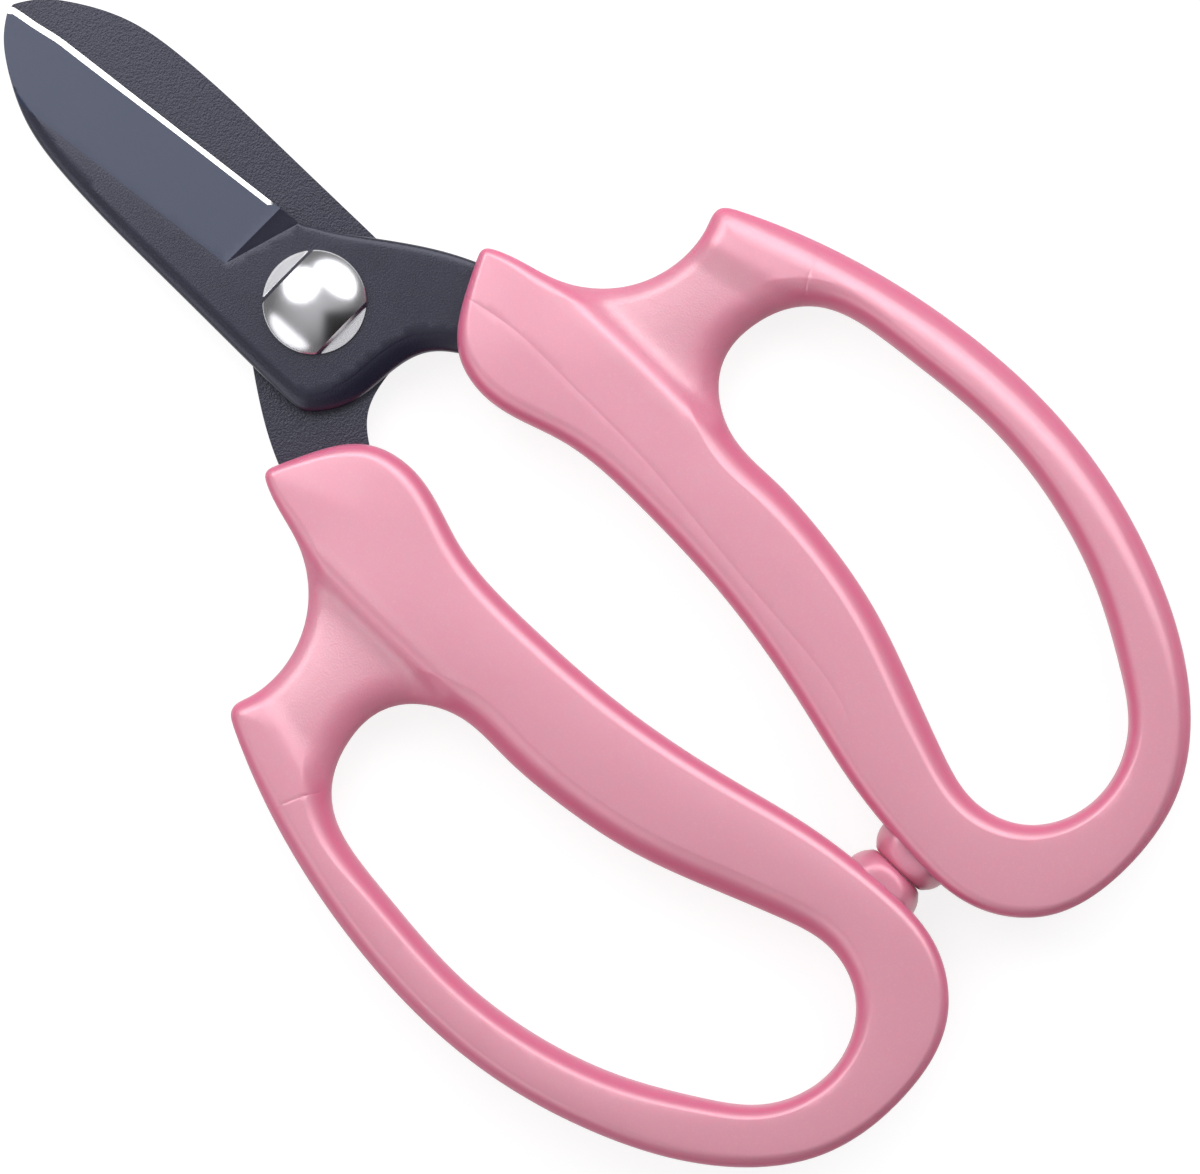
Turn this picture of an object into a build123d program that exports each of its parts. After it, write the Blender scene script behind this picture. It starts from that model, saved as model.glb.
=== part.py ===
from build123d import *
from math import atan, cos, degrees, pi, sqrt
import os

# Floral snips: two equal halves, each a steel blade whose tang is moulded into a looped
# plastic grip, turning on one domed bolt.
# Frame, in millimetres, blades closed: the origin is on the pivot axis at the level that the
# tool lies on, +X points to the blade tips, +Y to the rear grip and +Z to the bolt head.
# The front half has its blade on the +Y side, on top, and its grip on the -Y side.
# The rear half is the front half turned half a turn about the X axis of the meeting plane.

# ---- Driving dimensions ----

# Thicknesses
grip_thickness = 12.0
blade_thickness = 3.0
blade_gap = 0.05            # running gap between the two blades
washer_thickness = 0.8
washer_gap = 0.02           # running gap between the spring washer and the rear blade
nut_thickness = 2.15

# Blade outline: ahead of the pivot, and out from the mid-line
blade_reach = 51.7          # pivot to tip
spine_out = 10.8            # mid-line to the spine at the pivot
spine_front_out = 10.1      # mid-line to the spine where it starts to curve to the tip
spine_curve = 19.0          # length of that curve
edge_start = 8.0            # pivot to the root of the cutting edge
edge_lap = 5.6              # how far the edge laps past the mid-line at its root
edge_front_lap = 1.6        # and where it starts to curve up to the tip
edge_curve = 8.0            # length of that curve
spine_round = 1.2           # round along the outer face's spine, heel and tang

# Grinding of the outer face
bevel_start = 11.0          # pivot to the end of the bevel
bevel_width = 9.4           # square to the edge
bevel_land = 0.45           # thickness left at the foot of the bevel
strip_start = 12.0          # pivot to the end of the sharpened strip
strip_width = 0.9
strip_land = 0.12           # thickness left at the very edge

# Heel and tang
heel_back = 12.5            # pivot to the heel on the mid-line
heel_corner = 7.5           # how far ahead of that the heel's corner runs into the spine
tang_reach = 62.0           # pivot to the end of the tang
tang_width = 8.4
tang_hole_radius = 2.5      # the moulding locks the tang through two holes
tang_first_hole = 31.0      # pivot to the first of them
tang_second_hole = 49.0

# Grip outline: "back" is behind the pivot, "out" is away from the mid-line
nose_back = 9.7
nose_out = 19.0
knuckle_back = 23.0
knuckle_out = 6.2
hollow_back = 45.0
hollow_out = 9.8
grip_reach = 118.3          # pivot to the end of the grips
tail_out = 19.0             # mid-line to the endmost point
stop_from_end = 19.7        # end of the grips to the middle of the stop
seat_out = 2.4              # mid-line to the grip under the stop
crest_from_end = 48.3       # end of the grips to the outermost point of the loop
loop_out = 53.2             # mid-line to that point
waist_back = 28.2
waist_out = 36.2
horn_back = 26.4
horn_out = 42.5

# Walls round the finger hole
web_width = 11.7            # between the hole and the waist
stem_width = 13.75          # between the hole and the hollow
seat_wall = 10.1            # under the stop
tail_wall = 8.4
loop_wall = 6.9

# Surface of the grip
grip_round = 2.2            # round along the outline, on both faces
hole_round = 3.0            # round along the finger hole, on both faces
web_sink = 1.7              # how far the web lies below both faces
web_slope = 2.4             # width of the slopes down to the web
web_margin = 0.9            # how far those slopes start short of the stem's side of the hole

# Stops: round buffers that meet on the mid-line
stop_radius = 5.1
stop_face_radius = 3.5
stop_gap = 0.1              # between the two faces
peg_radius = 2.0
peg_length = 5.0
peg_gap = 0.02

# Bolt, nut and spring washer
head_radius = 6.35
head_rim = 1.2              # height of the rim below the dome
head_height = 3.3
head_flats = 10.0           # across the two flats
head_chamfer = 0.25
shank_radius = 3.5
shank_relief = 0.15         # how far the shank stops short of the rear blade's outer face
thread_radius = 3.0
thread_chamfer = 0.4
bore_gap = 0.05
thread_gap = 0.02
nut_flats = 10.0
nut_chamfer = 0.4
washer_bore_gap = 0.2
washer_ring = 2.0           # width of the washer's ring
washer_split = 0.9
washer_split_angle = 30.0

# ---- Levels and places worked out from them ----

mid = grip_thickness / 2                        # the plane in which the blades meet
inner_face = mid + blade_gap / 2                # of the front blade
outer_face = inner_face + blade_thickness
rear_outer_face = mid - blade_gap / 2 - blade_thickness
washer_top = rear_outer_face - washer_gap
nut_top = washer_top - washer_thickness
nut_underside = nut_top - nut_thickness

stop_back = grip_reach - stop_from_end
crest_back = grip_reach - crest_from_end
stem_out = hollow_out + stem_width / 2          # mid-line to the middle of the stem
stem_side_out = hollow_out + stem_width
hole_front_back = waist_back + web_width

ON_BASE = (Align.CENTER, Align.CENTER, Align.MIN)


def turned(shape):
    """The rear half's copy of a front piece."""
    return shape.rotate(Axis((0, 0, mid), (1, 0, 0)), 180)


def behind(*points):
    """Points of the front grip, given as (back, out)."""
    return [(-back, -out) for back, out in points]


def between(start, end, *shares):
    """Points of a curve between two others, each at its own share of the way along and out."""
    run = end[0] - start[0]
    rise = end[1] - start[1]
    return [(start[0] + along * run, start[1] + out * rise) for along, out in shares]


def disc(radius, bottom, top):
    """A cylinder about the pivot axis between two levels."""
    return Pos(0, 0, bottom) * Cylinder(radius, top - bottom, align=ON_BASE)


def block_beyond(point, direction):
    """A block large enough to cut off all that lies beyond a plane."""
    size = 4 * grip_reach
    block = Box(size, size, size, align=ON_BASE)
    return Plane(origin=point, z_dir=direction) * block


# ---- Blades ----

def blade_face():
    """Outline of the front blade: spine, edge, shoulder, tang and heel."""
    tip = (blade_reach, 0)
    spine_start = (heel_corner - heel_back, spine_out)
    spine_bend = (blade_reach - spine_curve, spine_front_out)
    edge_bend = (blade_reach - edge_curve, -edge_front_lap)
    edge_root = (edge_start, -edge_lap)
    edge_direction = (edge_root[0] - edge_bend[0], edge_root[1] - edge_bend[1])
    tang_inner = stem_out - tang_width / 2
    tang_outer = stem_out + tang_width / 2
    tang_round = tang_reach - tang_width / 2

    spine = Spline(
        spine_start, *between(spine_start, spine_bend, (0.5, 0.2)),
        spine_bend, *between(spine_bend, tip, (0.384, 0.129), (0.726, 0.446), (0.916, 0.752)),
        tip, tangents=[(1, 0), (0.5, -1)],
    )
    curved_edge = Spline(
        tip, *between(tip, edge_bend, (0.462, 0.47)), edge_bend,
        tangents=[(-1, -0.35), edge_direction],
    )
    straight_edge = Line(edge_bend, edge_root)
    shoulder_start = (0, -spine_out)
    tang_side = (-hollow_back, -tang_outer)
    shoulder = Spline(
        edge_root, shoulder_start,
        *between(shoulder_start, tang_side, (0.111, 0.338), (0.238, 0.635), (0.511, 0.953)),
        tang_side, tangents=[(-1, -0.5), (-1, 0)],
    )
    tang_outer_side = Line(*behind((hollow_back, tang_outer), (tang_round, tang_outer)))
    tang_end = ThreePointArc(
        *behind((tang_round, tang_outer), (tang_reach, stem_out), (tang_round, tang_inner))
    )
    tang_inner_side = Line(*behind((tang_round, tang_inner), (hollow_back, tang_inner)))
    tang_root = (-hollow_back, -tang_inner)
    heel_end = (-heel_back, -0.5)
    heel = Spline(
        tang_root, *between(tang_root, heel_end, (0.677, 0.157), (0.871, 0.399), (0.954, 0.608)),
        heel_end, *between(heel_end, spine_start, (0.16, 0.611), (0.44, 0.885)),
        spine_start, tangents=[(1, 0), (1, 0)],
    )
    return make_face(Wire([
        spine, curved_edge, straight_edge, shoulder,
        tang_outer_side, tang_end, tang_inner_side, heel,
    ]))


def on_blade(ahead, in_from_edge, height):
    """A point square in from the straight edge's line, at a place ahead of the pivot."""
    run = blade_reach - edge_curve - edge_start
    rise = edge_lap - edge_front_lap
    length = sqrt(run ** 2 + rise ** 2)
    edge_y = (ahead - edge_start) * rise / run - edge_lap
    return (ahead - in_from_edge * rise / length, edge_y + in_from_edge * run / length, height)


def normal_through(first, second, third):
    """A normal of the plane through three points."""
    return (Vector(*second) - Vector(*first)).cross(Vector(*third) - Vector(*first))


def front_blade_solid():
    blade = Pos(0, 0, inner_face) * extrude(blade_face(), amount=blade_thickness, dir=(0, 0, 1))
    rim = [edge for edge in blade.edges().group_by(Axis.Z)[-1]
           if edge.center().X < edge_start or edge.center().Y > spine_front_out / 2]
    blade = fillet(rim, spine_round)

    # The bevel: a plane that rises from the edge, ended by the steeper face of its run-out
    foot = on_blade(bevel_start, 0, inner_face + bevel_land)
    foot_at_tip = on_blade(blade_reach, 0, inner_face + bevel_land)
    top = on_blade(bevel_start, bevel_width, outer_face)
    run_out_root = (edge_start, -edge_lap, outer_face)
    over_bevel = block_beyond(foot, normal_through(foot, foot_at_tip, top))
    blade -= over_bevel & block_beyond(foot, normal_through(foot, top, run_out_root))

    # The sharpened strip: a steeper plane along the edge
    bevel_rise = strip_width * (blade_thickness - bevel_land) / bevel_width
    strip_foot = on_blade(strip_start, 0, inner_face + strip_land)
    strip_tip = on_blade(blade_reach, 0, inner_face + strip_land)
    strip_top = on_blade(strip_start, strip_width, inner_face + bevel_land + bevel_rise)
    over_strip = block_beyond(strip_foot, normal_through(strip_foot, strip_tip, strip_top))
    blade -= over_strip & block_beyond(strip_foot, (1, 0, 0))

    blade -= disc(shank_radius + bore_gap, 0, 2 * outer_face)
    for back in (tang_first_hole, tang_second_hole):
        blade -= Pos(-back, -stem_out, 0) * disc(tang_hole_radius, 0, 2 * outer_face)
    return blade


# ---- Grips ----

def grip_face():
    """Outline of the front grip without its finger hole."""
    nose = (nose_back, nose_out)
    horn = (horn_back, horn_out)
    waist = (waist_back, waist_out)
    knuckle = (knuckle_back, knuckle_out)
    hollow = (hollow_back, hollow_out)
    seat = (stop_back, seat_out)
    tail = (grip_reach, tail_out)
    crest = (crest_back, loop_out)
    mid_line_side = Spline(*behind(
        nose, *between(nose, knuckle, (0.218, 0.477), (0.519, 0.871)),
        knuckle, *between(knuckle, hollow, (0.455, 0.722)),
        hollow, *between(hollow, seat, (0.28, 0.101), (0.578, 0.48), (0.802, 0.851)),
        seat, *between(seat, tail, (0.528, 0.069), (0.868, 0.398)),
        tail, *between(tail, crest, (0.044, 0.351), (0.215, 0.643), (0.503, 0.866), (0.762, 0.969)),
        crest, *between(crest, horn, (0.298, 0.084), (0.642, 0.393)),
        horn,
    ))
    waist_side = Spline(*behind(
        horn, waist, *between(waist, nose, (0.13, 0.477), (0.497, 0.799), (0.768, 0.887)), nose,
    ))
    return make_face(Wire([mid_line_side, waist_side]))


def finger_hole_face():
    front = (hole_front_back, waist_out - 2.2)
    stem_bend = (hole_front_back + 15.1, stem_side_out - 0.1)
    seat_bend = (stop_back + 0.4, seat_out + seat_wall)
    far = (grip_reach - tail_wall, tail_out + 4.0)
    crest = (crest_back, loop_out - loop_wall)
    return make_face(Spline(*behind(
        front, *between(front, stem_bend, (0.192, 0.73), (0.523, 0.972)),
        stem_bend,
        *between(stem_bend, seat_bend, (0.182, 0.046), (0.432, 0.233), (0.705, 0.626), (0.852, 0.854)),
        seat_bend, *between(seat_bend, far, (0.624, 0.21)),
        far, *between(far, crest, (0.083, 0.386), (0.223, 0.571), (0.449, 0.785), (0.699, 0.931)),
        crest, *between(crest, front, (0.498, 0.089), (0.841, 0.301)),
    ), periodic=True))


def web_pocket():
    """What is taken off the upper face over the web: a tray with sloping sides."""
    stem_edge = stem_side_out - web_margin
    ahead, past = waist_back - 10, hole_front_back + 15
    loop_edge = loop_out - loop_wall - 0.5
    horn_edge = horn_out - 3.2
    opening = make_face(Polyline(
        *behind((ahead, stem_edge), (past, stem_edge), (past, loop_edge), (ahead, horn_edge)),
        close=True,
    ))
    slope_angle = degrees(atan(web_slope / web_sink))
    tray = extrude(opening, amount=web_sink, dir=(0, 0, -1), taper=slope_angle)
    return Pos(0, 0, grip_thickness) * tray


def about_stop_axis(shape):
    """Takes a shape from the Z axis to the front stop's axis, +Z to the mid-line."""
    return Plane(origin=(-stop_back, 0, mid), z_dir=(0, 1, 0)) * shape


def stop_peg(radius, length):
    """A peg that runs from the mid-line to its length below the grip's surface."""
    peg = Cylinder(radius, seat_out + length, align=(Align.CENTER, Align.CENTER, Align.MAX))
    return about_stop_axis(peg)


def front_grip_body():
    """The front grip before the tang and the stop's peg are let into it."""
    body = extrude(grip_face() - finger_hole_face(), amount=grip_thickness, dir=(0, 0, 1))
    levels = body.edges().group_by(Axis.Z)
    rims = levels[0] + levels[-1]
    hole_rims = [rim for rim in rims if rim.is_closed]
    body = fillet(hole_rims, hole_round)
    levels = body.edges().group_by(Axis.Z)
    outer_rims = [rim for rim in levels[0] + levels[-1] if not rim.is_closed]
    body = fillet(outer_rims, grip_round)
    pocket = web_pocket()
    return body - pocket - mirror(pocket, about=Plane.XY.offset(mid))


# ---- Stops ----

def front_stop_solid(grip_body):
    """A buffer with curved flanks, seated on the grip's side and held by a peg."""
    face = -stop_gap / 2
    root = -seat_out - grip_round
    flank_top = (stop_face_radius, face)
    flank_foot = (stop_radius, -seat_out)
    flank = Spline(flank_top, (stop_radius - 0.4, face - 1.0), flank_foot)
    rest = Polyline(flank_foot, (stop_radius, root), (0, root), (0, face), flank_top)
    profile = Plane.XZ * make_face(Wire([flank] + rest.edges()))
    buffer = about_stop_axis(revolve(profile, Axis.Z)) - grip_body
    below_face = block_beyond((0, -seat_out / 2, 0), (0, -1, 0))
    return buffer + (stop_peg(peg_radius, peg_length) & below_face)


# ---- Pivot ----

def pivot_bolt_solid():
    rim_top = outer_face + head_rim
    dome_radius = head_radius - head_chamfer
    dome_height = head_height - head_rim
    sphere_radius = (dome_radius ** 2 + dome_height ** 2) / (2 * dome_height)
    dome = Pos(0, 0, outer_face + head_height - sphere_radius) * Sphere(sphere_radius)
    dome &= Pos(0, 0, rim_top) * Box(head_flats, 2 * head_radius, head_height, align=ON_BASE)
    rim = disc(head_radius, outer_face, rim_top)
    rim = chamfer(rim.edges().group_by(Axis.Z)[-1], head_chamfer)
    shank_end = rear_outer_face + shank_relief
    shank = disc(shank_radius, shank_end, outer_face)
    thread = disc(thread_radius, nut_underside, shank_end)
    thread = chamfer(thread.edges().group_by(Axis.Z)[0], thread_chamfer)
    return rim + dome + shank + thread


def pivot_nut_solid():
    hexagon = RegularPolygon(nut_flats / 2, 6, major_radius=False)
    nut = Pos(0, 0, nut_underside) * extrude(hexagon, amount=nut_thickness, dir=(0, 0, 1))
    corners = disc(nut_flats / 2 / cos(pi / 6), nut_underside, nut_top)
    corners = chamfer(corners.edges().group_by(Axis.Z)[0], nut_chamfer)
    return (nut & corners) - disc(thread_radius + thread_gap, nut_underside, nut_top)


def spring_washer_solid():
    bore = thread_radius + washer_bore_gap
    reach = bore + washer_ring
    ring = disc(reach, nut_top, washer_top) - disc(bore, nut_top, washer_top)
    split = Pos(reach, 0, mid) * Box(2 * reach, washer_split, grip_thickness)
    return ring - Rot(0, 0, washer_split_angle) * split


# ---- Parts ----

front_blade = front_blade_solid()
grip_body = front_grip_body()
front_stop = front_stop_solid(grip_body)
front_grip = grip_body - front_blade - stop_peg(peg_radius + peg_gap, peg_length + peg_gap)

parts = {
    "front_blade": front_blade,
    "rear_blade": turned(front_blade),
    "front_grip": front_grip,
    "rear_grip": turned(front_grip),
    "front_stop": front_stop,
    "rear_stop": turned(front_stop),
    "pivot_bolt": pivot_bolt_solid(),
    "pivot_nut": pivot_nut_solid(),
    "spring_washer": spring_washer_solid(),
}

os.makedirs("parts", exist_ok=True)
for node, shape in parts.items():
    export_step(shape, f"parts/{node}.step")
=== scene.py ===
import math

import bpy
import numpy as np
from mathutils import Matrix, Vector, geometry


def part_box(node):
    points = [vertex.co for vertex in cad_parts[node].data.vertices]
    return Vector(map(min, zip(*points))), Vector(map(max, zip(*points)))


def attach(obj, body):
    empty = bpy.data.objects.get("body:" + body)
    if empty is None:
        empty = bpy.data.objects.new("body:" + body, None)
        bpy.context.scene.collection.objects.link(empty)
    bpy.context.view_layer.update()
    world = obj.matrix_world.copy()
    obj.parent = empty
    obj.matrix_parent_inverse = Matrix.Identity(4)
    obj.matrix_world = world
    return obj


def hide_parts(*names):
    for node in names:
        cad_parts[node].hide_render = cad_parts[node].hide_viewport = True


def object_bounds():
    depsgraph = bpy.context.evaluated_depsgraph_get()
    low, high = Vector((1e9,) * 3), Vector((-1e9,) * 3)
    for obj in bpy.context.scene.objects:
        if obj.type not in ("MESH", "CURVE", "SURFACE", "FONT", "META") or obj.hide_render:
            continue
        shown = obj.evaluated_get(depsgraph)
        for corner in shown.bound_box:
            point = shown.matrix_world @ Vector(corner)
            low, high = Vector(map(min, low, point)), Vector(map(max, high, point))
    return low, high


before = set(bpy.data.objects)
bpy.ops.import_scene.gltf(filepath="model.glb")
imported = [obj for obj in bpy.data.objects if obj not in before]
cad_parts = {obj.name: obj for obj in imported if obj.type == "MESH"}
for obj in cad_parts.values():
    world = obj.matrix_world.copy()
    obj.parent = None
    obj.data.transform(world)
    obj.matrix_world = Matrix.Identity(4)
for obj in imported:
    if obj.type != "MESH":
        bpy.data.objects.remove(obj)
cad_low, cad_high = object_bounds()

# Floral snips. The two halves are one shape, the rear one turned half a turn about the X axis of
# the plane where the blades meet, so each blade, grip and stop is built once, as the front one.
# Everything is built in millimetres in the frame of the CAD model and scaled to metres at the end.

MM = 0.001

# ---- Levels, from the frame ----

MID = (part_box("front_grip")[0].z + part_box("front_grip")[1].z) / 2 / MM
HALF_GRIP = (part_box("front_grip")[1].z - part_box("front_grip")[0].z) / 2 / MM
INNER_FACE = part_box("front_blade")[0].z / MM
BLADE_THICK = (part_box("front_blade")[1].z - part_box("front_blade")[0].z) / MM
BLADE_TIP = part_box("front_blade")[1].x / MM


# ==== Curves in plan ====

def spline_spans(points, closed):
    """Second derivatives of the cubic spline through the points, and the gaps between them."""
    ring = np.vstack([points, points[:1]]) if closed else points
    gaps = np.linalg.norm(np.diff(ring, axis=0), axis=1)
    slopes = np.diff(ring, axis=0) / gaps[:, None]
    count = len(points)
    matrix = np.zeros((count, count))
    target = np.zeros((count, 2))
    for i in range(count):
        if not closed and i in (0, count - 1):
            matrix[i, i] = 1.0
            continue
        before, after = gaps[i - 1], gaps[i]
        matrix[i, i - 1] = before
        matrix[i, i] = 2 * (before + after)
        matrix[i, (i + 1) % count] = after
        target[i] = 6 * (slopes[i] - slopes[i - 1])
    bends = np.linalg.solve(matrix, target)
    if closed:
        bends = np.vstack([bends, bends[:1]])
    return ring, gaps, bends


def smooth_curve(points, spacing, closed=False):
    """Evenly spaced points on the smooth curve through the given ones."""
    ring, gaps, bends = spline_spans(np.asarray(points, float), closed)
    knots = np.concatenate([[0], np.cumsum(gaps)])
    steps = max(2, int(round(knots[-1] / spacing)))
    places = np.linspace(0, knots[-1], steps + 1)
    if closed:
        places = places[:-1]
    span = np.clip(np.searchsorted(knots, places, side="right") - 1, 0, len(gaps) - 1)
    gap = gaps[span]
    share = ((places - knots[span]) / gap)[:, None]
    rest = 1 - share
    curve = rest * ring[span] + share * ring[span + 1]
    bow = (rest ** 3 - rest) * bends[span] + (share ** 3 - share) * bends[span + 1]
    return curve + bow * (gap ** 2)[:, None] / 6


def signed_area(loop):
    x, y = loop[:, 0], loop[:, 1]
    return 0.5 * float(np.sum(x * np.roll(y, -1) - np.roll(x, -1) * y))


def level_loops(node, level, above):
    """Closed loops of a CAD node's edges at one height, in millimetres, longest first.

    The loops bound the faces that lie wholly at or above the height, or at or below it."""
    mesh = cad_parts[node].data
    verts = np.zeros(len(mesh.vertices) * 3)
    mesh.vertices.foreach_get("co", verts)
    verts = np.round(verts.reshape(-1, 3) / MM, 3)
    places, ids = np.unique(verts, axis=0, return_inverse=True)
    ids = ids.ravel()
    keep = places[:, 2] >= level - 0.002 if above else places[:, 2] <= level + 0.002
    at_level = np.abs(places[:, 2] - level) < 0.002
    uses = {}
    for polygon in mesh.polygons:
        corners = [int(ids[v]) for v in polygon.vertices]
        if not all(keep[c] for c in corners):
            continue
        for a, b in zip(corners, corners[1:] + corners[:1]):
            if a != b:
                uses.setdefault(frozenset((a, b)), []).append((a, b))
    following = {}
    for pair, found in uses.items():
        if len(found) == 1 and all(at_level[c] for c in pair):
            a, b = found[0]
            following[a] = b
    loops = []
    while following:
        start, place = following.popitem()
        chain = [start]
        while place != start and place in following:
            chain.append(place)
            place = following.pop(place)
        if place == start and len(chain) > 8:
            loops.append(places[chain][:, :2])
    return sorted(loops, key=lambda loop: -abs(signed_area(loop)))


def with_straights(points, longest=6.5, step=0.5):
    """The outline with points added along its long straight edges, so that they stay straight."""
    filled = []
    for a, b in zip(points, np.roll(points, -1, axis=0)):
        length = np.linalg.norm(b - a)
        steps = int(round(length / step)) if length > longest else 1
        filled += [a + (b - a) * i / steps for i in range(steps)]
    return np.array(filled)


def even_loop(points, spacing, anticlockwise, corner_angle=35.0):
    """Evenly spaced points along a closed outline, smooth but for its sharp corners."""
    if (signed_area(points) > 0) != anticlockwise:
        points = points[::-1]
    points = with_straights(points)
    ahead = np.roll(points, -1, axis=0) - points
    back = points - np.roll(points, 1, axis=0)
    turn = np.arctan2(
        back[:, 0] * ahead[:, 1] - back[:, 1] * ahead[:, 0], np.sum(back * ahead, axis=1)
    )
    corners = [int(i) for i in np.where(np.abs(turn) > math.radians(corner_angle))[0]]
    if not corners:
        return smooth_curve(points, spacing, closed=True), []
    pieces, starts, count = [], [], 0
    for a, b in zip(corners, corners[1:] + [corners[0] + len(points)]):
        section = points[[i % len(points) for i in range(a, b + 1)]]
        piece = smooth_curve(section, spacing)[:-1]
        starts.append(count)
        count += len(piece)
        pieces.append(piece)
    return np.vstack(pieces), starts


def soften_corners(loop, corners, radii):
    """Rounds an outline's sharp corners in plan, within a radius of each."""
    loop = loop.copy()
    for corner, radius in zip(corners, radii):
        away = np.linalg.norm(loop - loop[corner], axis=1)
        weight = np.clip(1 - away / radius, 0, 1)
        for _ in range(round(6.5 * radius ** 2)):
            middle = (np.roll(loop, 1, axis=0) + np.roll(loop, -1, axis=0)) / 2
            loop += (0.5 * weight)[:, None] * (middle - loop)
    return loop


def inward(loop):
    """Unit normals of a loop that point into the solid, which lies on its left."""
    along = np.roll(loop, -1, axis=0) - np.roll(loop, 1, axis=0)
    along /= np.linalg.norm(along, axis=1)[:, None]
    return np.stack([-along[:, 1], along[:, 0]], axis=1)


def distance_to(points, line, closed=True):
    """Distance of each point to a polyline, and the index of the nearest of its points."""
    start = line if closed else line[:-1]
    end = np.roll(line, -1, axis=0) if closed else line[1:]
    run = end - start
    length2 = np.maximum(np.sum(run ** 2, axis=1), 1e-12)
    best = np.full(len(points), 1e9)
    index = np.zeros(len(points), int)
    for first in range(0, len(points), 2000):
        part = points[first:first + 2000, None, :]
        share = np.clip(np.sum((part - start) * run, axis=2) / length2, 0, 1)
        gap = np.linalg.norm(part - (start + share[..., None] * run), axis=2)
        nearest = gap.argmin(axis=1)
        rows = np.arange(len(nearest))
        best[first:first + 2000] = gap[rows, nearest]
        index[first:first + 2000] = (nearest + (share[rows, nearest] > 0.5)) % len(line)
    return best, index


def inside(points, loop):
    """Whether each point lies inside a closed loop."""
    x, y = points[:, 0], points[:, 1]
    result = np.zeros(len(points), bool)
    for (ax, ay), (bx, by) in zip(loop, np.roll(loop, -1, axis=0)):
        crosses = (ay > y) != (by > y)
        if crosses.any():
            where = (bx - ax) * (y - ay) / (by - ay + 1e-30) + ax
            result ^= crosses & (x < where)
    return result


# ==== Soft steps and rounds ====

def ease(value):
    """A smooth step from 0 at 0 to 1 at 1."""
    t = np.clip(value, 0, 1)
    return t * t * (3 - 2 * t)


def quarter_round(distance, reach, fall):
    """How far a rounded edge lies below the face: a quarter of an ellipse."""
    t = np.clip(1 - distance / reach, 0, 1)
    return fall * (1 - np.sqrt(np.maximum(1 - t * t, 0)))


def soft_min(a, b, blend):
    """The smaller of two heights, with the edge between them rounded."""
    t = np.clip(0.5 + 0.5 * (b - a) / blend, 0, 1)
    return b + (a - b) * t - blend * t * (1 - t)


def soft_max(a, b, blend):
    return -soft_min(-a, -b, blend)


def groove(points, line, half_width, depth):
    """A fine V-shaped line pressed into the surface."""
    away, _ = distance_to(points, line, closed=False)
    return depth * np.clip(1 - away / half_width, 0, 1)


# ==== Plates: flat forms with a modelled surface on both faces ====

STRAIGHT_WALL = ((0.5, 0.0),)


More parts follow.
